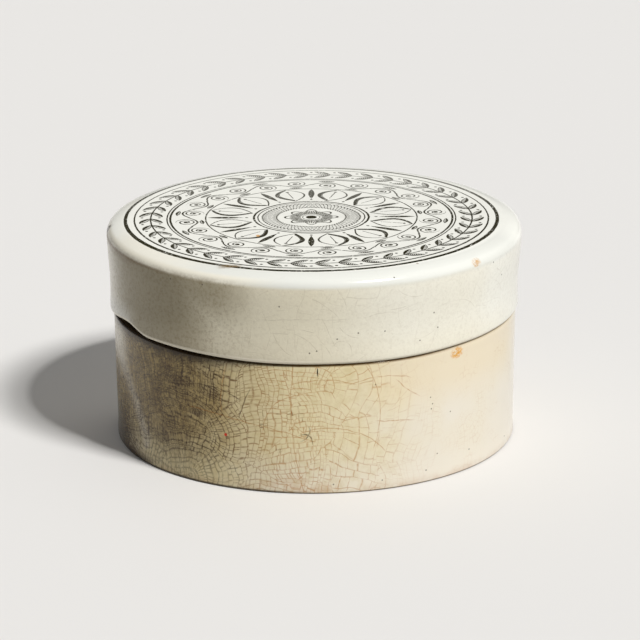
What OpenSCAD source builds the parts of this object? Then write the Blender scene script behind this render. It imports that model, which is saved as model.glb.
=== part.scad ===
// A round glazed earthenware pot for tooth paste, with a deep lift-off lid.
// Sizes are in millimetres. The origin is at the centre of the foot, +Z is up.
// The lid's skirt slides down over the pot's neck and rests on the pot's shoulder.

/* [Lid] */
// Outside radius of the lid's skirt
lid_r = 41.35; // [34:0.05:46]
// Height of the lid, from its lower edge to its crown
lid_h = 18.1; // [15:0.1:24]
// Wall of the skirt
lid_wall = 3.2; // [2.4:0.1:4]
// Thickness of the crown
lid_crown_t = 3.8; // [2.5:0.1:5]
// How far the rolled top edge stands out from the skirt
edge_overhang = 0.45; // [0.1:0.05:0.8]
// Radius of the rolled top edge
edge_round = 2; // [1.2:0.1:2.6]
// Height of the skirt's outward flare under the rolled edge
edge_flare_h = 3.5; // [2.2:0.1:5]
// Width of the sloping shoulder, from the flat crown to the rolled edge's outside
slope_w = 5; // [3.5:0.1:7]
// Radius of the sloping shoulder's curve
slope_round = 9.4; // [8:0.1:14]
// Fillet inside the lid, where the skirt meets the crown
lid_fillet = 3; // [1:0.1:4]
// Radius of the skirt's lower edge, outside
rim_round = 0.8; // [0.3:0.05:1.2]
// Radius of the skirt's lower edge, inside
rim_round_in = 0.6; // [0.3:0.05:1]

/* [Chip in the lid's lower edge] */
// Length of the chip along the edge
chip_l = 17; // [8:0.5:20]
// Height of the chip
chip_h = 1.3; // [0.6:0.1:2]
// How far outside the skirt the ball is centred that cuts the chip
chip_out = 1.2; // [0:0.1:3]
// Direction of the chip's middle around the lid, in degrees from +X
chip_angle = 204; // [0:1:359]

/* [Pot] */
// Height of the shoulder that the lid rests on
shoulder_h = 26.3; // [18:0.1:36]
// How far the lid's skirt stands out over the pot's shoulder
lid_overhang = 0.65; // [0.3:0.05:1.2]
// How much the pot narrows from its shoulder to its foot, on the radius
pot_taper = 0.3; // [0:0.05:1.5]
// Play between the lid and the neck, on the radius
neck_play = 0.4; // [0.3:0.05:0.8]
// Height of the neck above the shoulder
neck_h = 7.6; // [4:0.1:10]
// Wall of the neck
neck_wall = 2.7; // [2:0.1:4]
// Thickness of the pot's floor
floor_t = 4.6; // [3:0.1:8]
// Fillet inside the pot, where the floor meets the wall
pot_fillet = 4; // [1:0.1:7]
// Radius of the shoulder's outer edge
shoulder_round = 0.5; // [0.2:0.05:1]

/* [Foot] */
// Width of the ring that the pot stands on
foot_w = 4.5; // [3:0.1:8]
// Depth of the hollow inside the foot ring
foot_h = 1.1; // [0.5:0.1:2]
// Radius of the foot ring's outer edge
foot_round = 0.9; // [0.4:0.05:1.4]
// Fillet at the edge of the hollow inside the foot ring
foot_fillet = 0.8; // [0.2:0.05:1]

/* [Hidden] */
$fn = 96;
// How far a cutting shape runs past the face that it cuts
past = 1;
pot_top_r = lid_r - lid_overhang;
pot_foot_r = pot_top_r - pot_taper;
bore_r = lid_r - lid_wall;
neck_r = bore_r - neck_play;
cavity_r = neck_r - neck_wall;
neck_top = shoulder_h + neck_h;
lip_round = neck_wall * 0.4;
foot_hollow_r = pot_foot_r - foot_w;
lid_seat = shoulder_h;
lid_top = lid_seat + lid_h;
ceiling = lid_top - lid_crown_t;
edge_r = lid_r + edge_overhang;
crown_r = edge_r - slope_w;
// Height of the part of the skirt that holds its rounded lower edge
rim_top = lid_seat + 3 * max(rim_round, rim_round_in);
// The sloping shoulder's arc and the rolled edge's arc meet smoothly at slope_angle above the level
slope_c = [crown_r, lid_top - slope_round];
slope_angle = acos((slope_w - edge_round) / (slope_round - edge_round));
edge_c = slope_c + (slope_round - edge_round) * [cos(slope_angle), sin(slope_angle)];
// How many points the flare takes, and how many degrees of an arc lie between two points
flare_points = 10;
arc_step = 5;
// A ball of this radius cuts a chip of chip_l by chip_h
chip_r = (chip_l * chip_l / 4 + chip_h * chip_h) / (2 * chip_h);
lid_color = "Ivory";
pot_color = "AntiqueWhite";

function unit(v) = v / norm(v);

// Rises smoothly from 0 at t = 0 to 1 at t = 1
function ease(t) = t * t * (3 - 2 * t);

// Points on an arc around c, from just after angle a up to angle b
function arc(c, r, a, b) =
    let (n = ceil((b - a) / arc_step))
    [for (i = [1:n]) let (v = a + (b - a) * i / n) c + r * [cos(v), sin(v)]];

// Distance from a corner to where a circle of radius r touches its sides
function setback(a, b, c, r) =
    let (half = acos(unit(a - b) * unit(c - b)) / 2)
    r / tan(half);

// Centre of the circle of radius r that rounds the corner b between a and c
function round_centre(a, b, c, r) =
    let (half = acos(unit(a - b) * unit(c - b)) / 2)
    b + unit(unit(a - b) + unit(c - b)) * r / sin(half);

// A convex outline whose corners are [x, y, radius], each rounded by a true arc
module rounded(corners) {
    n = len(corners);
    p = [for (c = corners) [c.x, c.y]];
    polygon([
        for (i = [0:n - 1])
            let (a = p[(i + n - 1) % n], b = p[i], c = p[(i + 1) % n])
            let (s = setback(a, b, c, corners[i].z))
            each corners[i].z > 0 ? [b + s * unit(a - b), b + s * unit(c - b)] : [b]
    ]);
    for (i = [0:n - 1])
        if (corners[i].z > 0)
            translate(round_centre(p[(i + n - 1) % n], p[i], p[(i + 1) % n], corners[i].z))
                circle(r = corners[i].z);
}

// Half section of the pot's body, up to the shoulder
module body_section() {
    difference() {
        rounded([
            [0, 0, 0],
            [pot_foot_r, 0, foot_round],
            [pot_top_r, shoulder_h, shoulder_round],
            [0, shoulder_h, 0]
        ]);
        // The inside
        rounded([
            [0, floor_t, 0],
            [cavity_r, floor_t, pot_fillet],
            [cavity_r, shoulder_h + past, 0],
            [0, shoulder_h + past, 0]
        ]);
        // The hollow under the floor
        rounded([
            [0, -past, 0],
            [foot_hollow_r, -past, 0],
            [foot_hollow_r, foot_h, foot_fillet],
            [0, foot_h, 0]
        ]);
    }
}

// Half section of the neck, rooted in the body's wall
module neck_section() {
    rounded([
        [cavity_r, shoulder_h - past, 0],
        [neck_r, shoulder_h - past, 0],
        [neck_r, neck_top, lip_round],
        [cavity_r, neck_top, lip_round]
    ]);
}

module pot() {
    color(pot_color)
        rotate_extrude()
            union() {
                body_section();
                neck_section();
            }
}

// Half section of the lid above its rounded lower edge: skirt, flare, rolled edge, shoulder and crown
module crown_section() {
    difference() {
        polygon([
            [0, rim_top],
            [lid_r, rim_top],
            for (i = [0:flare_points])
                let (t = i / flare_points)
                [lid_r + edge_overhang * ease(t), edge_c.y - edge_flare_h * (1 - t)],
            each arc(edge_c, edge_round, 0, slope_angle),
            each arc(slope_c, slope_round, slope_angle, 90),
            [0, lid_top]
        ]);
        rounded([
            [0, rim_top - past, 0],
            [bore_r, rim_top - past, 0],
            [bore_r, ceiling, lid_fillet],
            [0, ceiling, 0]
        ]);
    }
}

// Half section of the lower end of the lid's skirt
module rim_section() {
    rounded([
        [bore_r, lid_seat, rim_round_in],
        [lid_r, lid_seat, rim_round],
        [lid_r, rim_top, 0],
        [bore_r, rim_top, 0]
    ]);
}

// What is missing where the lid's lower edge is chipped
module chip() {
    rotate([0, 0, chip_angle])
        translate([lid_r + chip_out, 0, lid_seat + chip_h - chip_r])
            sphere(r = chip_r);
}

module lid() {
    color(lid_color)
        difference() {
            rotate_extrude()
                union() {
                    crown_section();
                    rim_section();
                }
            chip();
        }
}

pot();
lid();
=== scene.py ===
import math

import bpy
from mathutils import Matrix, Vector, noise


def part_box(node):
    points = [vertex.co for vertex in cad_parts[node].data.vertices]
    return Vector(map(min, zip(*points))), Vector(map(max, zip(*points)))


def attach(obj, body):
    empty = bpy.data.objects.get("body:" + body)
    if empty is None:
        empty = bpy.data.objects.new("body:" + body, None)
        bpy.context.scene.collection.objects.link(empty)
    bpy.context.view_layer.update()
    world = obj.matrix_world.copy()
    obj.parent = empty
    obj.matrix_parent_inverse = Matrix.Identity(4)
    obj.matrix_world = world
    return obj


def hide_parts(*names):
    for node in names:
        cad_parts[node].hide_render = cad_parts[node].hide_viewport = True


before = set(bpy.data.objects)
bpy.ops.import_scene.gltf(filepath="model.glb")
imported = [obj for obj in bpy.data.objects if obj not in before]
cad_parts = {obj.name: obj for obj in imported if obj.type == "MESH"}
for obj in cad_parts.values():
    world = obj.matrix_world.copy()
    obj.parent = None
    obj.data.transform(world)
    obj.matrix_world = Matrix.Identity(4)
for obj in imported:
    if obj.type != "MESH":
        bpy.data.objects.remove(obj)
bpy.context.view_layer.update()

# Lengths are in millimetres until a mesh or a lamp is made, and MM turns them into metres.
MM = 0.001
_, pot_high = (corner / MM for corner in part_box("pot"))
lid_low, lid_high = (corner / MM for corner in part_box("lid"))

# Pot and lid, from the CAD boxes
SEAT_Z = lid_low.z
LID_TOP = lid_high.z
EDGE_R = lid_high.x
POT_TOP_R = pot_high.x
NECK_TOP = pot_high.z

# Sizes that the boxes don't show
EDGE_OVERHANG = 0.45
EDGE_ROUND = 2.0
FLARE_H = 10.0
SKEW = 0.1
SLOPE_W = 5.0
SLOPE_ROUND = 9.4
LID_WALL = 3.2
LID_CROWN_T = 3.8
LID_FILLET = 3.0
RIM_ROUND = 0.8
RIM_ROUND_IN = 0.6
POT_TAPER = 0.3
NECK_PLAY = 0.4
NECK_WALL = 2.7
LIP_ROUND = 1.08
FLOOR_T = 4.6
POT_FILLET = 4.0
SHOULDER_ROUND = 0.5
FOOT_W = 4.5
FOOT_H = 1.1
FOOT_ROUND = 0.4
FOOT_FILLET = 0.8
INNER_CORNER = 0.3
LID_R = EDGE_R - EDGE_OVERHANG
BORE_R = LID_R - LID_WALL
NECK_R = BORE_R - NECK_PLAY
CAVITY_R = NECK_R - NECK_WALL
FOOT_R = POT_TOP_R - POT_TAPER
FOOT_HOLLOW_R = FOOT_R - FOOT_W
CEILING = LID_TOP - LID_CROWN_T

# The raised stretch of the lid's lower edge. Angles are from the front, -Y, and grow towards +X.
CHIP_TURN = -64
CHIP_H = 1.35
CHIP_HALF_FRONT = 12
CHIP_HALF_BACK = 19
# To the right of it the lid's lower edge bows up a little off the pot
BOW_TURN = -42
BOW_H = 0.3
BOW_HALF = 35
# The seam of the real pot stands a little higher than the seat of the CAD, most at the right.
# Its further rise starts and is full at these cosines of the angle from +X.
SEAM_RISE = 0.15
SEAM_RISE_RIGHT = 0.35
RISE_START = 0.25
RISE_FULL = 0.95

# How uneven the walls, the crown and the lid's lower edge are, and how closely the lumps lie
WALL_UNEVEN = 0.16
CROWN_UNEVEN = 0.2
EDGE_WAVE = 0.06
LUMPS_ROUND = 1.3
LUMPS_UP = 0.04

# How finely the meshes are parted, and how near the axis a point is taken to be on it
SEGMENTS = 480
ROW = 1.2
FLARE_POINTS = 10
ON_AXIS = 1e-6


def srgb(*code):
    """A colour written as 0 to 255 in sRGB, as the linear RGBA that a shader takes."""
    parts = [c / 255 for c in code]
    return [p / 12.92 if p <= 0.04045 else ((p + 0.055) / 1.055) ** 2.4 for p in parts] + [1.0]


def ease(t):
    """Rises smoothly from 0 at t = 0 to 1 at t = 1."""
    t = min(max(t, 0.0), 1.0)
    return t * t * (3 - 2 * t)


# Turned meshes


class Outline:
    """Points (radius, height) of half a cross-section, from the axis round the piece and back."""

    def __init__(self, r, z):
        self.points = [(r, z)]

    def line(self, r, z, step=ROW):
        """A straight line to (r, z), with a point at about every step."""
        r0, z0 = self.points[-1]
        n = max(1, round(math.hypot(r - r0, z - z0) / step))
        self.points += [(r0 + (r - r0) * i / n, z0 + (z - z0) * i / n) for i in range(1, n + 1)]

    def arc(self, r, z, radius, start, end, n=6):
        """An arc around (r, z), in degrees from the outward direction towards up."""
        for i in range(1, n + 1):
            a = math.radians(start + (end - start) * i / n)
            self.points.append((r + radius * math.cos(a), z + radius * math.sin(a)))


def lathe(name, outline, shape):
    """A closed mesh turned from an outline. shape(r, z, turn) gives each point's own place."""
    verts, rings = [], []
    for r, z in outline.points:
        count = SEGMENTS if r > ON_AXIS else 1
        rings.append(range(len(verts), len(verts) + count))
        for i in range(count):
            turn = 2 * math.pi * i / SEGMENTS
            r2, z2 = shape(r, z, turn)
            verts.append((r2 * math.cos(turn) * MM, r2 * math.sin(turn) * MM, z2 * MM))
    faces = []
    for low, high in zip(rings, rings[1:]):
        for i in range(SEGMENTS):
            j = (i + 1) % SEGMENTS
            if len(low) == 1:
                faces.append((low[0], high[j], high[i]))
            elif len(high) == 1:
                faces.append((low[i], low[j], high[0]))
            else:
                faces.append((low[i], low[j], high[j], high[i]))
    mesh = bpy.data.meshes.new(name)
    mesh.from_pydata(verts, [], faces)
    mesh.polygons.foreach_set("use_smooth", [True] * len(faces))
    mesh.update()
    piece = bpy.data.objects.new(name, mesh)
    bpy.context.scene.collection.objects.link(piece)
    return piece


def wobble(turn, z, size, seed):
    """The slow unevenness of a hand-finished wall, from -size to 0."""
    at = Vector((math.cos(turn) * LUMPS_ROUND + seed, math.sin(turn) * LUMPS_ROUND, z * LUMPS_UP))
    return (noise.noise(at) - 1) * size / 2


def pot_outline():
    """From the middle of the hollow under the foot, up the outside and down the inside."""
    o = Outline(0, FOOT_H)
    o.line(FOOT_HOLLOW_R - FOOT_FILLET, FOOT_H, 4)
    o.arc(FOOT_HOLLOW_R - FOOT_FILLET, FOOT_H - FOOT_FILLET, FOOT_FILLET, 90, 0)
    o.arc(FOOT_HOLLOW_R + INNER_CORNER, INNER_CORNER, INNER_CORNER, 180, 270, 4)
    o.line(FOOT_R - FOOT_ROUND, 0)
    o.arc(FOOT_R - FOOT_ROUND, FOOT_ROUND, FOOT_ROUND, 270, 360)
    o.line(POT_TOP_R, SEAT_Z - SHOULDER_ROUND)
    o.arc(POT_TOP_R - SHOULDER_ROUND, SEAT_Z - SHOULDER_ROUND, SHOULDER_ROUND, 0, 90)
    o.line(NECK_R + INNER_CORNER, SEAT_Z)
    o.arc(NECK_R + INNER_CORNER, SEAT_Z + INNER_CORNER, INNER_CORNER, 270, 180, 4)
    o.line(NECK_R, NECK_TOP - LIP_ROUND)
    o.arc(NECK_R - LIP_ROUND, NECK_TOP - LIP_ROUND, LIP_ROUND, 0, 90)
    o.line(CAVITY_R + LIP_ROUND, NECK_TOP, 0.3)
    o.arc(CAVITY_R + LIP_ROUND, NECK_TOP - LIP_ROUND, LIP_ROUND, 90, 180)
    o.line(CAVITY_R, FLOOR_T + POT_FILLET, 2)
    o.arc(CAVITY_R - POT_FILLET, FLOOR_T + POT_FILLET, POT_FILLET, 0, -90, 10)
    o.line(0, FLOOR_T, 3)
    return o


def lid_outline():
    """From the middle of the ceiling, down the inside, up the skirt and over the crown."""
    slope_z = LID_TOP - SLOPE_ROUND
    slope_r = EDGE_R - SLOPE_W
    meet = math.degrees(math.acos((SLOPE_W - EDGE_ROUND) / (SLOPE_ROUND - EDGE_ROUND)))
    edge_z = slope_z + (SLOPE_ROUND - EDGE_ROUND) * math.sin(math.radians(meet))
    o = Outline(0, CEILING)
    o.line(BORE_R - LID_FILLET, CEILING, 4)
    o.arc(BORE_R - LID_FILLET, CEILING - LID_FILLET, LID_FILLET, 90, 0, 8)
    o.line(BORE_R, SEAT_Z + RIM_ROUND_IN)
    o.arc(BORE_R + RIM_ROUND_IN, SEAT_Z + RIM_ROUND_IN, RIM_ROUND_IN, 180, 270)
    o.line(LID_R - RIM_ROUND, SEAT_Z, 0.5)
    o.arc(LID_R - RIM_ROUND, SEAT_Z + RIM_ROUND, RIM_ROUND, 270, 360, 10)
    o.line(LID_R, edge_z - FLARE_H, 0.8)
    for i in range(1, FLARE_POINTS + 1):
        t = i / FLARE_POINTS
        o.points.append((LID_R + EDGE_OVERHANG * ease(t), edge_z - FLARE_H * (1 - t)))
    o.arc(EDGE_R - EDGE_ROUND, edge_z, EDGE_ROUND, 0, meet, 12)
    o.arc(slope_r, slope_z, SLOPE_ROUND, meet, 90, 8)
    o.line(0, LID_TOP, 2.5)
    return o


def seam_rise(turn):
    """How far the seam stands above SEAT_Z at an angle from +X."""
    share = (math.cos(turn) - RISE_START) / (RISE_FULL - RISE_START)
    return SEAM_RISE + SEAM_RISE_RIGHT * ease(share)


def pot_shape(r, z, turn):
    """The pot's outside wall and seat are a little uneven; its foot, neck and inside stay true."""
    wall = ease((z - FOOT_ROUND) / 3) * ease((SEAT_Z - z) / 2) if r > FOOT_HOLLOW_R + 2 else 0
    seat = ease((z - SEAT_Z + 6) / 5) * ease((SEAT_Z + 5 - z) / 4) if r > NECK_R - 0.5 else 0
    return r + wobble(turn, z, WALL_UNEVEN, 3.1) * wall, z + seam_rise(turn) * seat


def hump(turn, centre, half_left, half_right):
    """1 at centre, which is in degrees from the front, and falling to 0 on either side of it."""
    away = (math.degrees(turn) + 270 - centre) % 360 - 180
    half = half_right if away > 0 else half_left
    return ease(1 - abs(away) / half)


def edge_rise(turn):
    """How far the lid's lower edge is raised above the seam at an angle from +X."""
    chip = CHIP_H * hump(turn, CHIP_TURN, CHIP_HALF_BACK, CHIP_HALF_FRONT)
    return chip + BOW_H * hump(turn, BOW_TURN, BOW_HALF, BOW_HALF)


def lid_shape(r, z, turn):
    """The lid's wall and crown are a little uneven, and its lower edge is wavy and raised at the chip."""
    outside = ease((z - SEAT_Z - 1) / 3) if r > BORE_R + 1 else 0
    crown = ease((EDGE_R - 2 - r) / 6) if z > CEILING + 2 else 0
    near_edge = ease(1 - (z - SEAT_Z) / 5)
    wave = EDGE_WAVE * (1 + noise.noise(Vector((math.cos(turn) * 6, math.sin(turn) * 6, 0.5))))
    rise = (seam_rise(turn) + edge_rise(turn) + wave) * near_edge
    dish = wobble(turn, r, CROWN_UNEVEN, 8.7) * crown
    skirt = ease((LID_TOP - 2.6 - z) / 9) if r > BORE_R + 1 else 0
    skew = SKEW * (1 + math.cos(turn)) * skirt
    return r + wobble(turn, z, WALL_UNEVEN, 5.3) * outside - skew, z + rise + dish


# Shader fields


class Field:
    """A number at each point of a surface: a shader socket that takes part in ordinary arithmetic."""

    def __init__(self, graph, socket):
        self.graph = graph
        self.socket = socket

    def __add__(self, other):
        return self.graph.math("ADD", self, other)

    def __sub__(self, other):
        return self.graph.math("SUBTRACT", self, other)

    def __rsub__(self, other):
        return self.graph.math("SUBTRACT", other, self)

    def __mul__(self, other):
        return self.graph.math("MULTIPLY", self, other)

    def __truediv__(self, other):
        return self.graph.math("DIVIDE", self, other)

    def __neg__(self):
        return self * -1

    def __pow__(self, other):
        return self.graph.math("POWER", self, other)

    __radd__ = __add__
    __rmul__ = __mul__


class Graph:
    """The nodes of one material."""

    def __init__(self, name):
        self.material = bpy.data.materials.new(name)
        self.material.use_nodes = True
        self.nodes = self.material.node_tree.nodes
        self.links = self.material.node_tree.links
        self.shader = self.nodes["Principled BSDF"]
        place = self.nodes.new("ShaderNodeTexCoord").outputs["Object"]
        scaled = self.nodes.new("ShaderNodeVectorMath")
        scaled.operation = "SCALE"
        scaled.inputs["Scale"].default_value = 1 / MM
        self.links.new(place, scaled.inputs[0])
        self.place = scaled.outputs[0]
        self.x, self.y, self.z = self.parts(self.place)

    def put(self, value, socket):
        """Feeds a field, a node's socket or a plain value into a socket."""
        if isinstance(value, Field):
            self.links.new(value.socket, socket)
        elif isinstance(value, bpy.types.NodeSocket):
            self.links.new(value, socket)
        else:
            socket.default_value = value

    def math(self, operation, *values):
        node = self.nodes.new("ShaderNodeMath")
        node.operation = operation
        for value, socket in zip(values, node.inputs):
            self.put(value, socket)
        return Field(self, node.outputs[0])

    def sin(self, a):
        return self.math("SINE", a)

    def cos(self, a):
        return self.math("COSINE", a)

    def abs(self, a):
        return self.math("ABSOLUTE", a)

    def floor(self, a):
        return self.math("FLOOR", a)

    def fract(self, a):
        return self.math("FRACT", a)

    def turn_of(self, y, x):
        return self.math("ARCTAN2", y, x)

    def length(self, a, b):
        return self.math("SQRT", a * a + b * b)

    def most(self, *fields):
        best = fields[0]
        for f in fields[1:]:
            best = self.math("MAXIMUM", best, f)
        return best

    def least(self, *fields):
        best = fields[0]
        for f in fields[1:]:
            best = self.math("MINIMUM", best, f)
        return best

    def clamp(self, a):
        return self.least(self.most(a, 0.0), 1.0)

    def step(self, a, low, high):
        """0 where a is at low, 1 where it is at high, and smooth between. low may be over high."""
        if low > high:
            return 1 - self.step(a, high, low)
        node = self.nodes.new("ShaderNodeMapRange")
        node.interpolation_type = "SMOOTHSTEP"
        self.put(a, node.inputs["Value"])
        node.inputs["From Min"].default_value = low
        node.inputs["From Max"].default_value = high
        return Field(self, node.outputs[0])

    def line(self, distance, half, soft=0.04):
        """1 on a line of that half width, and 0 away from it."""
        return self.step(distance, half + soft, half - soft)

    def vector(self, x, y, z=0.0):
        node = self.nodes.new("ShaderNodeCombineXYZ")
        for value, socket in zip((x, y, z), node.inputs):
            self.put(value, socket)
        return node.outputs[0]

    def noise(self, at, size, detail=2.0, rough=0.5, shift=0.0):
        """Smooth noise from 0 to 1, whose largest lumps are about size across."""
        node = self.nodes.new("ShaderNodeTexNoise")
        node.noise_dimensions = "4D"
        self.put(at, node.inputs["Vector"])
        node.inputs["W"].default_value = shift
        node.inputs["Scale"].default_value = 1 / size
        node.inputs["Detail"].default_value = detail
        node.inputs["Roughness"].default_value = rough
        return Field(self, node.outputs["Fac"])

    def cells(self, at, size, feature="F1", randomness=1.0, flat=True):
        """A Voronoi node over cells about size across."""
        node = self.nodes.new("ShaderNodeTexVoronoi")
        node.voronoi_dimensions = "2D" if flat else "3D"
        node.feature = feature
        self.put(at, node.inputs["Vector"])
        node.inputs["Scale"].default_value = 1 / size
        node.inputs["Randomness"].default_value = randomness
        return node

    def hash(self, a, b=0.0, c=0.0):
        """A random number from 0 to 1 for each set of whole numbers."""
        node = self.nodes.new("ShaderNodeTexWhiteNoise")
        self.put(self.vector(a, b, c), node.inputs["Vector"])
        return Field(self, node.outputs["Value"])

    def read(self, node, output):
        return Field(self, node.outputs[output])

    def parts(self, color):
        """The three numbers of a colour or a vector."""
        node = self.nodes.new("ShaderNodeSeparateXYZ")
        self.put(color, node.inputs[0])
        return [Field(self, s) for s in node.outputs]

    def blend(self, share, a, b):
        """Number a, and number b where share is 1."""
        return a + (b - a) * share

    def mix(self, share, a, b):
        """Colour a, and colour b where share is 1."""
        node = self.nodes.new("ShaderNodeMix")
        node.data_type = "RGBA"
        self.put(share, node.inputs["Factor"])
        self.put(a, node.inputs["A"])
        self.put(b, node.inputs["B"])
        return node.outputs["Result"]

    def facing(self, turn, full, none, ragged=0.03):
        """1 within full degrees of that turn from the front, and 0 beyond none degrees."""
        a = math.radians(turn)
        r = self.length(self.x, self.y) + 0.001
        aim = (self.x * math.sin(a) - self.y * math.cos(a)) / r
        aim = aim + (self.noise(self.place, 7.0, 2.0, shift=21.0) - 0.5) * ragged
        return self.step(aim, math.cos(math.radians(none)), math.cos(math.radians(full)))

    def spot(self, turn, z, radius, wide, high):
        """1 in the middle of an uneven spot on a wall of that radius, fading to 0 at its edge."""
        a = math.radians(turn)
        across = self.x * math.cos(a) + self.y * math.sin(a)
        out = self.x * math.sin(a) - self.y * math.cos(a)
        ragged = (self.noise(self.place, 0.5, 2.0) - 0.5) * 0.7
        d = self.length(across / wide, (self.z - z) / high) + ragged
        return self.step(d, 1.0, 0.5) * self.step(out, radius - 6, radius - 5)

    def finish(self, color, roughness, height, depth, ior):
        """Connects colour, roughness and a bump height field of that depth in millimetres."""
        self.put(color, self.shader.inputs["Base Color"])
        self.put(roughness, self.shader.inputs["Roughness"])
        bump = self.nodes.new("ShaderNodeBump")
        bump.inputs["Strength"].default_value = 1.0
        bump.inputs["Distance"].default_value = depth * MM
        self.put(height, bump.inputs["Height"])
        self.links.new(bump.outputs[0], self.shader.inputs["Normal"])
        self.shader.inputs["IOR"].default_value = ior
        return self.material


def warped(g, u, v, size, reach, shift):
    """Coordinates u and v pushed about by noise of that size, by up to about reach."""
    at = g.vector(u, v)
    du = (g.noise(at, size, 1.0, shift=shift) - 0.5) * 2 * reach
    dv = (g.noise(at, size, 1.0, shift=shift + 5) - 0.5) * 2 * reach
    return u + du, v + dv


def crazing(g, u, v, patch, cell, swing, half, thick=1.0):
    """Cracks of an old glaze, as three fields from coarse to fine, each with cells half as wide.

    The glaze is parted into patches. In each, the cracks run round and away from a place of their
    own, near or far, so they fan out or lie nearly square, turned by up to swing degrees from
    level or upright, and the cross cracks stop at the others. thick widens the cracks.
    """
    at = g.vector(u, v)
    edge = g.read(g.cells(at, patch, "DISTANCE_TO_EDGE", 0.9), "Distance") * patch
    cells = g.cells(at, patch, "F1", 0.9)
    middle_u, middle_v, _ = g.parts(cells.outputs["Position"])
    tone, other, third = g.parts(cells.outputs["Color"])
    turned = g.step(other, 0.499, 0.501) * math.pi / 2
    a = (tone - 0.5) * 2 * math.radians(swing) + turned
    u_in, v_in = u - middle_u, v - middle_v
    far = third ** 2 * patch * 5 + patch * 0.7
    away = u_in * g.cos(a) + v_in * g.sin(a) + far
    aside = v_in * g.cos(a) - u_in * g.sin(a)
    across = (g.length(away, aside) - far) / cell + third * 7
    along = g.turn_of(aside, away) * far / cell
    across = across + (g.noise(g.vector(across, tone * 50), 1.3, 0.0) - 0.5) * 1.1
    along = along + (g.noise(g.vector(along, third * 50), 1.3, 0.0) - 0.5) * 0.9
    gaps = g.noise(at, cell * 1.2, 1.0, shift=7.0)
    worn = g.step(g.noise(at, cell * 0.45, 1.0, shift=19.0), 0.3, 0.65) * 0.72 + 0.28
    levels = []
    for n in (1, 2, 4):
        strip = g.floor(across * n)
        place = along * n + g.hash(strip, tone, n)
        lengthwise = (0.5 - g.abs(g.fract(across * n) - 0.5)) * (cell / n) / thick
        crosswise = (0.5 - g.abs(g.fract(place) - 0.5)) * (cell / n) / thick
        strong = g.step(g.hash(g.floor(across * n + 0.5), third, n) + gaps, 0.3, 0.9)
        weak = g.step(g.hash(strip, g.floor(place + 0.5), third + n) + gaps, 0.35, 0.95)
        net = g.most(g.line(lengthwise, half, half) * strong, g.line(crosswise, half, half) * weak)
        knot = g.step(lengthwise + crosswise, half * 3, half) * strong * weak
        levels.append(g.most(net * worn, knot))
    levels[0] = g.most(levels[0], g.line(edge, half, half) * g.step(gaps, 0.4, 0.6) * worn)
    return levels


def long_cracks(g, u, v, radius, cracks, half):
    """Single cracks, each an arc through three places (turn, height) on a wall of that radius."""
    lines = []
    for crack in cracks:
        ends = [Vector((math.radians(turn + 90) * radius, z)) for turn, z in crack]
        start, middle, end = ends
        a, b = middle - start, end - start
        twice = 2 * (a.x * b.y - a.y * b.x)
        shift_u = (b.y * a.length_squared - a.y * b.length_squared) / twice
        shift_v = (a.x * b.length_squared - b.x * a.length_squared) / twice
        bend = math.hypot(shift_u, shift_v)
        away = g.abs(g.length(u - start.x - shift_u, v - start.y - shift_v) - bend)
        centre, reach = (start + end) / 2, (end - start).length / 2
        within = g.length(u - centre.x, v - centre.y) - reach
        lines.append(g.line(away, half, half) * g.step(within, 1.2, -0.2))
    return g.most(*lines)


def over_seam(g, r):
    """Height over the seam, whose own rise is as seam_rise gives it."""
    share = g.step(g.x / (r + 0.001), RISE_START, RISE_FULL)
    return g.z - SEAT_Z - SEAM_RISE - share * SEAM_RISE_RIGHT


def hump_field(g, centre, half_left, half_right):
    """What hump gives, as a field: 1 at centre, and falling to 0 on either side of it."""
    away = (g.fract(g.turn_of(g.y, g.x) / (2 * math.pi) + (270 - centre) / 360) - 0.5) * 360
    return g.least(g.step(away, half_right, 0), g.step(away, -half_left, 0))


def raised(g):
    """How far the lid's lower edge is raised, as edge_rise gives it."""
    chip = hump_field(g, CHIP_TURN, CHIP_HALF_BACK, CHIP_HALF_FRONT) * CHIP_H
    return chip + hump_field(g, BOW_TURN, BOW_HALF, BOW_HALF) * BOW_H


def specks(g, at, size, share, radius, shift):
    """Small dark spots: one in that share of the cells, each with its own radius."""
    moved = g.nodes.new("ShaderNodeVectorMath")
    moved.inputs[1].default_value = (shift, shift, shift)
    g.put(at, moved.inputs[0])
    node = g.cells(moved.outputs[0], size, flat=False)
    chance, own, _ = g.parts(node.outputs["Color"])
    chosen = g.step(chance, 1 - share - 0.001, 1 - share)
    distance = g.read(node, "Distance") * size
    return g.step(distance / (own * radius * 0.7 + radius * 0.3), 1.0, 0.6) * chosen


# The lid's printed ornament, in rings around its own middle, which is a little off the lid's

PRINT_SHIFT = (-0.57, -0.17)


def ring(g, r, radius, half):
    """A printed ring."""
    return g.line(g.abs(r - radius), half)


def cell_width(count, radius):
    """The length along a ring of that radius that each of count equal cells takes."""
    return 2 * math.pi * radius / count


def around(g, r, turn, count, radius):
    """Coordinates along and out from the middle of one of count equal cells of a ring, and its number."""
    part = turn * (count / (2 * math.pi))
    along = (g.fract(part) - 0.5) * cell_width(count, radius)
    return along, r - radius, g.floor(part)


def dot(g, x, y, radius):
    """A round dot about the place where x and y are 0."""
    return g.step(g.length(x, y), radius + 0.05, radius - 0.05)


def leaf(g, p, q, long, wide, pitch=0.42):
    """An engraved leaf, solid on one side of its middle and hatched on the other. p runs along it."""
    inside = (1 - (p / long) ** 2) * wide - g.abs(q)
    hatch = g.step(g.abs(g.fract(p / pitch + g.abs(q) * 0.9) - 0.5), 0.2, 0.3)
    tone = g.most(g.step(q, -0.03, 0.03), hatch)
    return g.most(g.line(g.abs(inside), 0.09), g.step(inside, -0.03, 0.03) * tone)


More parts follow.
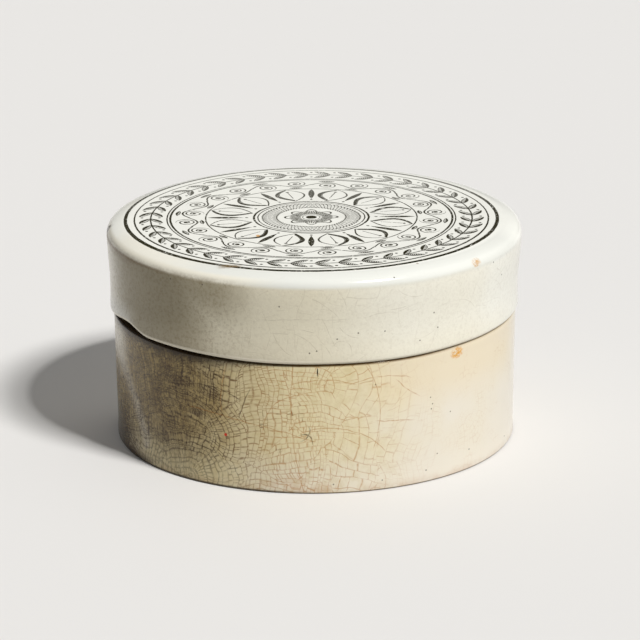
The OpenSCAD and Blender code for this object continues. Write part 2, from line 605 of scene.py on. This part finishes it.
def leaf_band(g, r, turn):
    """A laurel band: pairs of leaves that slant away from a stem, with berries between."""
    along, out, _ = around(g, r, turn, 44, 32.3)
    side = g.abs(out) - 1.2
    c, s = math.cos(math.radians(34)), math.sin(math.radians(34))
    pair = leaf(g, along * c + side * s, side * c - along * s, 2.0, 0.62)
    berry = dot(g, g.abs(along) - 2.3, g.abs(out) - 1.75, 0.3)
    stem = g.line(g.abs(out), 0.16)
    return g.most(pair, berry, stem)


def scroll_band(g, r, turn):
    """A waving stem with a spiral in each bend and a small leaf outside it."""
    count, radius = 24, 24.6
    along, out, number = around(g, r, turn, count, radius)
    flip = g.abs(g.fract(number / 2)) * 4 - 1
    out = out * flip
    bend = g.cos(along * (math.pi / cell_width(count, radius))) * 1.7 - 0.1
    stem = g.line(g.abs(out - bend) * 0.8, 0.16)
    low = out + 0.75
    away = g.length(along, low)
    wound = away / 0.95 - g.turn_of(low, along) / (2 * math.pi)
    spiral = g.line(g.abs(g.fract(wound) - 0.5) * 0.95, 0.16) * g.step(away, 2.1, 1.95)
    eye = dot(g, along, low, 0.42)
    sprig = leaf(g, along - 0.3, out - 2.5, 1.5, 0.4)
    return g.most(stem, spiral, eye, sprig)


def petal_band(g, r, turn):
    """Large open petals, each outlined twice and shaded on one side, with spears between them."""
    count, radius = 12, 16.6
    along, out, _ = around(g, r, turn, count, radius)
    room = r / radius
    inside = (1 - (out / 4.3) ** 2) * 2.9 * room - g.abs(along * room)
    outline = g.line(g.abs(inside), 0.19)
    inner = g.line(g.abs(inside - 0.75), 0.1) * g.step(along, -0.05, 0.05)
    shade = g.step(g.abs(inside - 0.38), 0.3, 0.2) * g.step(along, -0.05, 0.05)
    vein = g.line(g.abs(along), 0.1) * g.step(g.abs(out), 2.3, 2.2)
    knot = dot(g, along, out - 2.6, 0.3)
    between = cell_width(count, radius) / 2 - g.abs(along)
    spear = leaf(g, out - 0.6, between, 3.4, 0.5)
    bead = dot(g, between, out + 3.6, 0.34)
    return g.most(outline, inner, shade, vein, knot, spear, bead)


def rosette(g, r, turn):
    """A braided ring of fine lines around a flower with eight petals."""
    parts = []
    for i in range(5):
        wave = g.sin(turn * 14 + i * 2 * math.pi / 5) * 1.5
        parts.append(g.line(g.abs(r - 8.4 - wave) * 0.75, 0.115))
    petals = g.abs(g.cos(turn * 4)) ** 0.6 * 3.4 + 1.9
    edge = g.line(g.abs(r - petals) * 0.7, 0.15)
    rays = g.step(g.abs(g.fract(turn * (64 / (2 * math.pi))) - 0.5), 0.12, 0.24)
    filled = g.step(r, 4.6, 4.0) * g.step(r, 2.0, 2.3) * rays
    eye = g.step(r, 1.15, 1.05)
    return g.most(*parts, edge, filled, eye, ring(g, r, 1.75, 0.08))


def printed(g):
    """The whole ornament: 1 where there is ink."""
    u, v = warped(g, g.x - PRINT_SHIFT[0], g.y - PRINT_SHIFT[1], 1.1, 0.07, 12.0)
    r = g.length(u, v)
    turn = g.turn_of(v, u)
    bands = (
        (28.6, 35.0, leaf_band(g, r, turn)),
        (21.4, 27.8, scroll_band(g, r, turn)),
        (12.2, 21.1, petal_band(g, r, turn)),
        (0.0, 10.4, rosette(g, r, turn)),
    )
    press = g.step(v, 5.0, -25.0)
    ink = g.most(
        g.line(g.abs(r - 37.35) - press * 0.13, 0.34),
        g.line(g.abs(r - 35.55) - press * 0.12, 0.15),
        ring(g, r, 29.0, 0.14),
        ring(g, r, 28.35, 0.22),
        ring(g, r, 21.25, 0.15),
        ring(g, r, 11.55, 0.22),
        ring(g, r, 10.75, 0.13),
    )
    for low, high, band in bands:
        ink = g.most(ink, band * g.step(r, low - 0.02, low + 0.02) * g.step(r, high + 0.02, high - 0.02))
    worn = g.noise(g.place, 0.5, 2.0, 0.6, 14.0) + g.noise(g.place, 6, 2.0, shift=15.0) * 0.35
    return ink * g.step(worn, 0.38, 0.62) * (1 - g.step(v, 0.0, 32.0) * 0.2)


# Glazes

POT_CREAM = srgb(233, 225, 209)
POT_YELLOW = srgb(232, 218, 176)
POT_STAIN = srgb(201, 176, 120)
POT_BLOTCH = srgb(128, 98, 54)
SOIL = srgb(74, 48, 12)
CLOUD = srgb(196, 172, 112)
PEACH = srgb(234, 212, 166)
CRACK_WARM = srgb(176, 110, 26)
CRACK_DARK = srgb(56, 32, 3)
CLAY = srgb(205, 186, 150)
DIRT = srgb(58, 44, 26)
# Colours of dirt with painted shade, at the seam, at the foot and low on the left
SEAM_GRIME_AND_SHADE = srgb(104, 72, 8)
DEEP_GRIME_AND_SHADE = srgb(44, 28, 4)
RUST = srgb(222, 160, 66)
LID_RUST = srgb(204, 152, 80)
RED = srgb(214, 52, 26)
PRINT_WHITE = srgb(252, 251, 242)
LID_WHITE = srgb(241, 239, 228)
SLOPE_WHITE = srgb(229, 229, 221)
SLOPE_PAINTED_LIGHT = srgb(244, 240, 226)
ROLL_PAINTED_LIGHT = srgb(246, 240, 222)
# A white for painted highlights and painted reflections
PAINTED_HIGHLIGHT_WHITE = srgb(252, 243, 222)
LID_TAN = srgb(232, 224, 200)
FLANK_GREY = srgb(213, 212, 206)
LID_STAIN_AND_SHADE = srgb(150, 138, 108)
BROWN = srgb(124, 100, 60)
INK = srgb(42, 38, 4)
GLOSS = 0.17

# Within these radii the glaze's pattern lies level, and beyond them it goes round the wall
POT_LEVEL_R = 33.2
LID_LEVEL_R = 38.3

# The long cracks that show most on the pot's side, and its marks. Turns are in degrees.
POT_CRACKS = (
    ((-36, 15.5), (-20, 14.2), (-1, 11)),
    ((-2, 13), (3, 13.5), (19, 8.5)),
    ((-6, 25.7), (-6.3, 13), (-3.5, 1)),
    ((14.5, 25.4), (18, 17.2), (16.5, 9.5)),
    ((-6, 22.5), (1.5, 23.4), (10, 22.4)),
    ((10, 22.4), (18, 23.3), (26, 22.5)),
    ((-14.5, 13.2), (-12.5, 17), (-1, 20.2)),
    ((23.5, 21.7), (26.2, 20), (29, 18.5)),
    ((18, 14.3), (22, 14), (27, 13.6)),
    ((-25, 25), (-26.4, 21), (-26.7, 16.4)),
)
DARK_CRACKS = (
    ((-30, 24.5), (-29.8, 21.4), (-30.3, 17.5)),
    ((-36.5, 20.2), (-28, 20.3), (-21.5, 18.8)),
    ((-21.2, 15.2), (-20.3, 17.2), (-18.4, 20.3)),
    ((-3, 12.3), (-1.5, 11.8), (-0.8, 11)),
    ((-2.7, 11.4), (-1.9, 12.2), (-1.7, 13.2)),
)
# The middle of the broad pale streak painted on the pot's left side as a reflection
REFLECTION_STREAK = (((-76, 20), (-65, 14.5), (-56, 4)),)
# The long fine cracks in the lid's side
LID_CRACKS = (
    ((-2.8, 40.8), (2.1, 38.8), (5.7, 36.6)),
    ((6.1, 41.7), (7.4, 39.9), (8.1, 38.4)),
    ((2.3, 35.4), (3.7, 32.9), (5.1, 30.8)),
    ((-5.2, 32.7), (-2.3, 31.6), (0.5, 29.6)),
    ((1.1, 31.9), (2.6, 30.5), (4.1, 28.7)),
    ((-10.8, 32.0), (-9.2, 30.1), (-6.7, 28.6)),
    ((-3.0, 33.6), (-1.8, 33.4), (-0.7, 33.2)),
    ((-13.4, 35.4), (-2.9, 35.7), (7.7, 35.6)),
    ((7.0, 33.6), (8.7, 32.5), (11.3, 31.8)),
    ((5.9, 31.0), (8.0, 31.1), (9.8, 29.8)),
    ((13.9, 35.9), (17.2, 36.3), (21.0, 36.3)),
    ((21.0, 36.8), (23.4, 36.9), (26.1, 37.2)),
    ((23.3, 40.3), (25.3, 39.3), (29.0, 38.7)),
)
# Warm stains just over the foot: turn, height, width, height of the stain
FOOT_STAINS = (
    (-6, 2.4, 3.4, 1.8), (1.5, 1.2, 2.6, 1.3), (-13, 1.8, 2.6, 0.9),
)
# Where dirt has gathered in the pot's glaze: turn, height, width, height of the patch
POT_PATCHES = (
    (-40, 20.0, 3.0, 1.8), (-34.5, 14.6, 1.8, 1.5), (-48.5, 7.5, 2.6, 2.0), (-73, 3.0, 5.0, 9.0),
    (-30, 19.0, 2.6, 1.2), (-14.5, 13.6, 1.0, 0.7), (-10, 8.8, 0.9, 0.7),
)
# The larger specks: turn, height
POT_SPECKS = (
    (40.7, 13.4), (33.6, 17.4), (34.3, 16.0), (33.9, 15.0), (48.6, 4.1), (36.1, 5.4),
    (32.3, 2.5), (18.7, 2.0), (4.9, 1.9), (16.7, 21.8), (70, 2.2),
)
LID_SPECKS = (
    (33.9, 34.8), (35.3, 31.6), (11.7, 32.7), (19.1, 32.6), (0.5, 29.4), (-1.4, 29.0),
    (6.0, 31.7), (29.5, 29.7), (-9.3, 38.3), (-41.7, 41.0), (-31.0, 41.2), (21.7, 43.1),
    (56.9, 41.4), (62.4, 37.8),
)
SPECK_R = 0.2


def rust_spot(g, turn, z, radius, wide, high):
    """A spot of rust with a broken outline."""
    broken = g.step(g.noise(g.place, 0.7, 3.0, 0.7, 41.0), 0.35, 0.6)
    return g.spot(turn, z, radius, wide, high) * broken


def seam_shade_and_grime(g):
    """Where the seam's dirt and painted shade are darkest, how strong they are, which is less at the right,
    and their colour.
    """
    darkest = g.facing(-50, 35, 55)
    strength = 1 - g.facing(72, 22, 45) * 0.6
    return darkest, strength, g.mix(darkest, SEAM_GRIME_AND_SHADE, DEEP_GRIME_AND_SHADE)


def pot_glaze():
    """Cream glaze, crazed and stained brown at the left front, with a bare foot, seat and lip, painted
    shade at the seam and foot, and painted reflections at the left.
    """
    g = Graph("pot_glaze")
    r = g.length(g.x, g.y)
    level = g.step(r, POT_LEVEL_R, POT_LEVEL_R - 0.1)
    outside = g.step(r, FOOT_R - 2.0, FOOT_R - 1.5)
    inside = 1 - outside
    around_u = g.turn_of(-g.y, -g.x) * POT_TOP_R
    u = g.blend(level, around_u, g.x)
    v = g.blend(level, g.z, g.y)
    upper = g.step(g.z, 1.0, 12.0) * 0.7 + 0.3
    left = g.facing(-61, 21, 42, 0.12) * outside
    middle = g.facing(-20, 18, 52, 0.12) * outside
    back = g.facing(165, 20, 75, 0.12) * outside
    pale_foot = g.facing(-37, 13, 27, 0.08) * g.step(g.z, 8.5, 2.0) * outside
    # Painted reflection: the pot's far left, high up, is painted paler, and shows fewer cracks there
    painted_reflection_left = g.facing(-84, 8, 20) * g.step(g.z, 13.0, 22.0) * outside
    big = g.noise(g.place, 14, 3.0, shift=1.0)
    small = g.noise(g.place, 3.5, 3.0, shift=2.0)

    bent_u, bent_v = warped(g, u, v, 16, 3.2, 4.0)
    bent_u, bent_v = warped(g, bent_u, bent_v, 4.5, 0.9, 27.0)
    bent_u, bent_v = warped(g, bent_u, bent_v, 1.6, 0.22, 9.0)
    coarse, medium, fine = crazing(g, bent_u, bent_v, 10, 2.0, 16, 0.08, 1 + left)
    patches = g.most(*(g.spot(turn, z, POT_TOP_R, w, h) for turn, z, w, h in POT_PATCHES))
    reach = g.clamp(middle * 1.1 + left + back * 0.6 + inside * 0.5 + (big - 0.5) * 0.7)
    close = g.facing(-42, 28, 56) * 1.2 * outside + left - pale_foot * 0.4
    close = g.clamp(close + (small - 0.5) * 1.4 + (big - 0.5) * 0.5)
    finest = g.clamp(left * 1.25 + (small - 0.5) * 1.4 - 0.4 + patches - pale_foot)
    cracks = g.most(coarse * reach, medium * close * 0.9, fine * finest * 0.85)
    cracks = cracks * (1 - g.most(painted_reflection_left * 0.6, pale_foot * 0.4))
    cluster = g.step(small, 0.58, 0.72) * g.clamp(left + middle) * 0.6
    dark = g.clamp(g.facing(-58, 22, 52) * 1.1 * outside + cluster + patches * 0.5)

    yellowed = middle + left + back * 0.7 + inside * 0.4 + (big - 0.5)
    yellowed = g.clamp(yellowed * upper + pale_foot * 0.5)
    color = g.mix(yellowed, POT_CREAM, POT_YELLOW)
    stain = left * 1.1 + (small - 0.5) * 1.2 * left + g.facing(-20, 4, 11) * 0.25 * outside
    stain = g.clamp(stain) * upper * (1 - pale_foot * 0.5)
    color = g.mix(stain, color, POT_STAIN)
    blotch = g.step(g.noise(g.place, 5, 4.0, 0.6, 3.0), 0.48, 0.7) * left * (1 - pale_foot)
    color = g.mix(blotch * 0.5, color, POT_BLOTCH)
    soil = g.step(g.noise(g.place, 0.7, 2.0, 0.7, 35.0), 0.45, 0.65) * upper
    color = g.mix(g.clamp(patches * 0.35 + soil * 0.4) * left, color, SOIL)
    foot_stain = g.most(*(g.spot(turn, z, POT_TOP_R, w, h) for turn, z, w, h in FOOT_STAINS))
    color = g.mix(foot_stain * 0.15, color, CRACK_WARM)
    # Painted reflection: a broad pale streak down the pot's left side
    painted_reflection_streak = long_cracks(g, around_u, g.z, POT_TOP_R, REFLECTION_STREAK, 1.4) * 0.6
    color = g.mix(painted_reflection_streak * outside, color, POT_CREAM)
    # Painted reflection on the far left of the pot, in the highlight white
    color = g.mix(painted_reflection_left, color, PAINTED_HIGHLIGHT_WHITE)
    # Darker towards the bottom at the far left, and a painted contact shadow just over the foot at the left
    dark_low_and_contact_shade = g.facing(-84, 8, 20) * g.step(g.z, 13.0, 1.0) * 0.75
    dark_low_and_contact_shade = g.most(dark_low_and_contact_shade, g.facing(-75, 14, 26) * g.step(g.z, 2.4, 0.6) * 0.9) * outside
    color = g.mix(dark_low_and_contact_shade, color, DEEP_GRIME_AND_SHADE)
    warm_side = g.facing(45, 16, 40, 0.12) * g.step(g.z, 13.0, 22.0) * outside
    color = g.mix(warm_side * 0.4, color, PEACH)
    low = g.step(g.z, 2.2, 0.2) * g.step(small, 0.35, 0.6) * outside
    color = g.mix(low * 0.2, color, CRACK_WARM)
    cloud = g.noise(g.place, 1.8, 3.0, 0.6, 33.0)
    color = g.mix(g.step(cloud, 0.4, 0.75) * g.clamp(middle + left) * 0.35, color, CLOUD)
    crack_color = g.mix(dark, CRACK_WARM, CRACK_DARK)
    color = g.mix(cracks * (0.66 + 0.3 * dark), color, crack_color)
    side_u, side_v = warped(g, around_u, g.z, 3.0, 0.35, 31.0)
    uneven = outside * (g.step(g.noise(g.place, 0.8, 1.0, shift=37.0), 0.3, 0.6) * 0.6 + 0.4)
    long_warm = long_cracks(g, side_u, side_v, POT_TOP_R, POT_CRACKS, 0.075)
    long_dark = long_cracks(g, side_u, side_v, POT_TOP_R, DARK_CRACKS, 0.09)
    color = g.mix(long_warm * uneven * 0.6, color, CRACK_WARM)
    color = g.mix(long_dark * uneven * 0.85, color, CRACK_DARK)

    grit = specks(g, g.place, 6.0, 0.35, 0.22, 0.0)
    placed = g.most(*(g.spot(turn, z, POT_TOP_R, SPECK_R, SPECK_R) for turn, z in POT_SPECKS))
    color = g.mix(g.most(grit, placed) * 0.7, color, CRACK_DARK)
    color = g.mix(rust_spot(g, 42.9, 25.2, POT_TOP_R, 2.0, 1.4), color, RUST)
    color = g.mix(g.spot(-25.5, 11.0, POT_TOP_R, 0.42, 0.42), color, RED)
    color = g.mix(g.spot(0.7, 25.0, POT_TOP_R, 0.16, 1.1), color, DIRT)

    seat = over_seam(g, r)
    bare = g.most(
        g.step(g.z, 0.25, 0.1),
        g.step(g.z, NECK_TOP - 1.2, NECK_TOP - 0.9),
        g.step(seat, -0.12, -0.05) * g.step(seat, 0.12, 0.05),
    ) * g.step(r, 34.5, 34.7)
    color = g.mix(bare, color, CLAY)
    # Grime and painted shade in a band below the seam at the left front, under the lid's overhang
    grime_and_shade_under_lid = g.step(seat + (small - 0.5) * 1.5, -2.9, -0.1) * g.step(seat, 2.4, 0.6)
    color = g.mix(grime_and_shade_under_lid * g.facing(-52, 14, 38) * g.step(r, 36, 37) * 0.95, color, DEEP_GRIME_AND_SHADE)
    # Dirt and painted shade in the seam under the lid, and at the foot a dark line of dirt with a painted
    # contact shadow, darkest at the left front
    seam = g.step(seat, -0.6, -0.2) * g.step(r, POT_TOP_R - 1.6, POT_TOP_R - 0.2)
    darkest, strength, shade_and_grime_color = seam_shade_and_grime(g)
    sole = g.most(g.step(g.z, 0.4, 0.1) * 0.9, g.step(g.z, 0.65, 0.3) * darkest)
    sole = sole * g.step(r, FOOT_R - 1.0, FOOT_R - 0.6)
    color = g.mix(g.most(seam * strength, sole) * 0.85, color, shade_and_grime_color)

    height = (g.noise(g.place, 6, 2.0, shift=6.0) - 0.5) * 0.5 - cracks * 0.12
    rough = GLOSS + stain * 0.1 + (small - 0.5) * 0.1 + bare * 0.5
    return g.finish(color, g.clamp(rough), height, 0.12, 1.36)


def lid_glaze():
    """Off-white glaze with the printed crown, dirt under the rolled edge, a bare lower edge, and painted
    light and shade on the slope, the side and the lower edge.
    """
    g = Graph("lid_glaze")
    r = g.length(g.x, g.y)
    level = g.step(r, LID_LEVEL_R, LID_LEVEL_R - 0.1) * g.step(g.abs(g.z - CEILING + 4), 1.9, 2.0)
    around_u = g.turn_of(-g.y, -g.x) * LID_R
    u = g.blend(level, around_u, g.x)
    v = g.blend(level, g.z, g.y)
    inside = g.step(r, BORE_R + 1.6, BORE_R + 1.2) * g.step(g.z, CEILING + 1.2, CEILING + 1.0)
    outside = 1 - inside
    left = g.facing(-58, 25, 45) * outside
    big = g.noise(g.place, 16, 3.0, shift=1.0)
    small = g.noise(g.place, 3.0, 3.0, shift=2.0)
    side = g.step(g.z, LID_TOP - 2.0, LID_TOP - 2.9) * outside
    # Painted light: the slope is painted lighter at the left and at both far sides, and the top of the
    # rolled edge lighter and creamier at the left front
    slope = g.mix(g.facing(-75, 20, 48), SLOPE_WHITE, SLOPE_PAINTED_LIGHT)
    sideways = g.x / (r + 0.001)
    painted_flank_light = g.most(g.step(sideways, 0.92, 1.0) * 0.8, g.step(sideways, -0.92, -1.0) * 0.9)
    slope = g.mix(painted_flank_light, slope, PRINT_WHITE)
    painted_roll_light = g.step(g.z, LID_TOP - 0.7, LID_TOP - 1.3) * g.facing(-55, 28, 48)
    slope = g.mix(painted_roll_light * 0.9, slope, ROLL_PAINTED_LIGHT)
    color = g.mix(g.step(g.z, LID_TOP - 3.5, LID_TOP - 2.5), LID_WHITE, slope)
    color = g.mix(g.step(r, 38.8, 37.6), color, PRINT_WHITE)
    aged = side * g.clamp(g.facing(-42, 38, 70) + (big - 0.5) * 0.4)
    color = g.mix(aged, color, LID_TAN)
    # The side is darker at the left, partly stain and partly painted shade, with painted shade high up a
    # little further right
    shade = g.facing(-35, 6, 20) * g.step(g.z, SEAT_Z + 5.0, LID_TOP - 4.0)
    low = g.step(g.z, SEAT_Z + 7.0, SEAT_Z + 1.0)
    left_stain_and_shade = g.facing(-52, 8, 27) * (0.8 - low * 0.2)
    color = g.mix(side * g.most(left_stain_and_shade, shade * 0.68), color, LID_STAIN_AND_SHADE)
    # Painted light: the lower left of the side is painted paler
    color = g.mix(low * g.facing(-77, 8, 20) * outside * 0.85, color, PRINT_WHITE)
    color = g.mix(low * g.facing(-14, 16, 38) * outside * 0.12, color, BROWN)
    color = g.mix(low * g.facing(28, 25, 50) * outside * 0.35, color, LID_TAN)
    color = g.mix(side * g.facing(33, 8, 26) * 0.35, color, LID_TAN)

    bent_u, bent_v = warped(g, u, v, 14, 5.0, 4.0)
    coarse, medium, _ = crazing(g, bent_u, bent_v, 15, 4.0, 20, 0.06)
    faint = g.step(g.noise(g.place, 9, 2.0, shift=8.0), 0.35, 0.65) * (0.15 + 0.85 * side + 0.6 * inside)
    color = g.mix(g.clamp(big - 0.2) * inside, color, LID_TAN)
    cracks = g.most(coarse, medium * g.step(small, 0.5, 0.7)) * faint * 0.6
    side_u, side_v = warped(g, around_u, g.z, 2.5, 0.3, 31.0)
    uneven = outside * (g.step(g.noise(g.place, 0.9, 1.0, shift=37.0), 0.3, 0.6) * 0.55 + 0.15)
    cracks = g.most(cracks, long_cracks(g, side_u, side_v, LID_R, LID_CRACKS, 0.065) * uneven)
    color = g.mix(cracks * 0.33, color, BROWN)

    edge = g.step(g.z, LID_TOP - 3.4, LID_TOP - 2.4) * g.step(g.z, LID_TOP - 1.3, LID_TOP - 2.1)
    mottled = g.noise(g.place, 0.6, 3.0, 0.7, 17.0)
    color = g.mix(g.step(mottled, 0.42, 0.7) * (0.1 + left * 0.3) * side, color, BROWN)
    grime = edge * left * g.step(small * 0.4 + mottled * 0.6, 0.4, 0.6)
    color = g.mix(grime * 0.3, color, BROWN)
    lip = g.line(g.abs(g.z - LID_TOP + 2.55 + (mottled - 0.5) * 0.8), 0.28, 0.25)
    lip = lip * g.facing(-68, 10, 32) * g.step(r, LID_R - 2.0, LID_R - 1.5)
    color = g.mix(lip * 0.75, color, BROWN)
    dirty = g.step(g.z, LID_TOP - 4.4, LID_TOP - 3.3) * g.step(g.z, LID_TOP - 1.9, LID_TOP - 2.6)
    color = g.mix(dirty * g.facing(-76, 9, 20) * 0.42, color, BROWN)
    far_right = g.facing(100, 10, 22) * g.step(g.z, LID_TOP - 0.9, LID_TOP - 1.5)
    color = g.mix(far_right * outside * 0.6, color, FLANK_GREY)
    color = g.mix(g.spot(-86.5, LID_TOP - 1.7, EDGE_R, 1.8, 1.0) * 0.9, color, DIRT)
    grit = specks(g, g.place, 7.0, 0.4, 0.2, 2.0)
    placed = g.most(*(g.spot(turn, z, LID_R, SPECK_R, SPECK_R) for turn, z in LID_SPECKS))
    color = g.mix(g.most(grit, placed) * 0.8, color, DIRT)
    color = g.mix(rust_spot(g, 49.3, 42.6, EDGE_R, 1.6, 0.9) * 0.8, color, LID_RUST)
    crown = g.step(g.z, LID_TOP - 1.2, LID_TOP - 1.0)
    color = g.mix(printed(g) * crown * g.step(r, 38.8, 38.6), color, INK)
    fleck = dot(g, g.x + 11.1, (g.y + 13.2) * 0.6, 0.4) * crown
    color = g.mix(fleck * 0.8, color, RUST)
    color = g.mix(dot(g, g.x - 19.8, g.y + 32.8, 0.25) * crown * 0.6, color, BROWN)
    smudge = g.step(g.length((g.x + 16.2) / 3.0, (g.y + 34.0) / 1.2) + mottled, 1.5, 0.9) * crown
    color = g.mix(smudge * 0.65, color, BROWN)
    over_rim = over_seam(g, r) - raised(g)
    skirt = g.step(r, BORE_R + 1.6, BORE_R + 1.9)
    # Painted highlight: a pale line along the rounded lower edge of the lid, brightest at the left front
    roll = g.step(over_rim, 0.12, 0.3) * g.step(over_rim, 1.1, 0.65) * skirt
    color = g.mix(roll * g.facing(-42, 32, 60) * 0.9, color, PAINTED_HIGHLIGHT_WHITE)
    # Painted shadow with dirt along the lid's lower edge, in the gap over the pot, lighter at the right
    under = g.step(over_rim, 0.25, 0.1) * skirt
    _, strength, shade_and_grime_color = seam_shade_and_grime(g)
    color = g.mix(under * strength * 0.85, color, shade_and_grime_color)
    bare = g.step(over_rim, 0.3, 0.15) * g.step(r, LID_R - 0.6, LID_R - 0.8)
    color = g.mix(bare, color, CLAY)
    pits = g.step(g.noise(g.place, 0.8, 2.0, 0.6, 18.0), 0.5, 0.75) * side
    height = (g.noise(g.place, 7, 2.0, shift=6.0) - 0.5) * 0.6 - cracks * 0.1 - pits * 0.12
    rough = GLOSS + (small - 0.5) * 0.08 + grime * 0.2 + bare * 0.5
    return g.finish(color, g.clamp(rough), height, 0.12, 1.38)


# Pieces

pot = lathe("earthenware_pot", pot_outline(), pot_shape)
pot.data.materials.append(pot_glaze())
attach(pot, "pot")
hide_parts("pot")

lid = lathe("printed_lid", lid_outline(), lid_shape)
lid.data.materials.append(lid_glaze())
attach(lid, "lid")
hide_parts("lid")


# Floor, light and camera

FLOOR = srgb(225, 223, 220)
FLOOR_BOUNCE = srgb(182, 181, 178)


def add_floor():
    """A wide pale floor, size in metres. It bounces less light than its own colour would."""
    size = 30.0
    mesh = bpy.data.meshes.new("floor")
    corners = [(-size, -size, 0), (size, -size, 0), (size, size, 0), (-size, size, 0)]
    mesh.from_pydata(corners, [], [(0, 1, 2, 3)])
    floor = bpy.data.objects.new("floor", mesh)
    bpy.context.scene.collection.objects.link(floor)
    material = bpy.data.materials.new("floor")
    material.use_nodes = True
    nodes, links = material.node_tree.nodes, material.node_tree.links
    shader = nodes["Principled BSDF"]
    shader.inputs["Roughness"].default_value = 0.9
    shader.inputs["Specular IOR Level"].default_value = 0.1
    path = nodes.new("ShaderNodeLightPath")
    seen = path.outputs["Is Camera Ray"]
    for ray in ("Is Glossy Ray", "Is Transmission Ray"):
        either = nodes.new("ShaderNodeMath")
        either.operation = "MAXIMUM"
        links.new(seen, either.inputs[0])
        links.new(path.outputs[ray], either.inputs[1])
        seen = either.outputs[0]
    mix = nodes.new("ShaderNodeMix")
    mix.data_type = "RGBA"
    mix.inputs["A"].default_value = FLOOR_BOUNCE
    mix.inputs["B"].default_value = FLOOR
    links.new(seen, mix.inputs["Factor"])
    links.new(mix.outputs["Result"], shader.inputs["Base Color"])
    mesh.materials.append(material)


def add_sun(name, turn, height, strength, spread):
    """A lamp far away, at that turn from the front and height above the level, in degrees."""
    data = bpy.data.lights.new(name, "SUN")
    data.energy = strength
    data.angle = math.radians(spread)
    lamp = bpy.data.objects.new(name, data)
    a, h = math.radians(turn), math.radians(height)
    way = Vector((math.sin(a) * math.cos(h), -math.cos(a) * math.cos(h), math.sin(h)))
    lamp.rotation_euler = way.to_track_quat("Z", "Y").to_euler()
    lamp.location = way
    bpy.context.scene.collection.objects.link(lamp)
    return lamp


def add_world(light):
    """Even light from all round."""
    world = bpy.data.worlds.new("studio")
    bpy.context.scene.world = world
    world.use_nodes = True
    shader = world.node_tree.nodes["Background"]
    shader.inputs["Color"].default_value = (1, 1, 1, 1)
    shader.inputs["Strength"].default_value = light


def add_camera():
    """The photograph's view: its height, distance, sideways shifts and small roll, from the lid's rings."""
    height = math.radians(17.713)
    roll = math.radians(0.365)
    distance, right_by, up_by = 700.0, 1.039, 21.449
    right = Vector((1, 0, 0))
    up = Vector((0, math.sin(height), math.cos(height)))
    ahead = Vector((0, math.cos(height), -math.sin(height)))
    data = bpy.data.cameras.new("camera")
    data.sensor_width = 36.0
    data.lens = 192.0
    data.clip_start = 0.01
    camera = bpy.data.objects.new("camera", data)
    camera.location = (right * right_by + up * up_by - ahead * distance) * MM
    rolled_right = right * math.cos(roll) - up * math.sin(roll)
    rolled_up = up * math.cos(roll) + right * math.sin(roll)
    turned = camera.matrix_world.to_3x3()
    turned.col[0], turned.col[1], turned.col[2] = rolled_right, rolled_up, -ahead
    camera.rotation_euler = turned.to_euler()
    bpy.context.scene.collection.objects.link(camera)
    bpy.context.scene.camera = camera


add_floor()
add_sun("key", 46, 50, 2.5, 10)
add_sun("key_core", 38, 53.5, 0.85, 2.5)
add_sun("side_fill", 78, 8, 0.4, 50)
add_sun("back_fill", -155, 45, 0.65, 100).visible_glossy = False
add_world(0.1)
add_camera()
bpy.context.scene.view_settings.view_transform = "Standard"
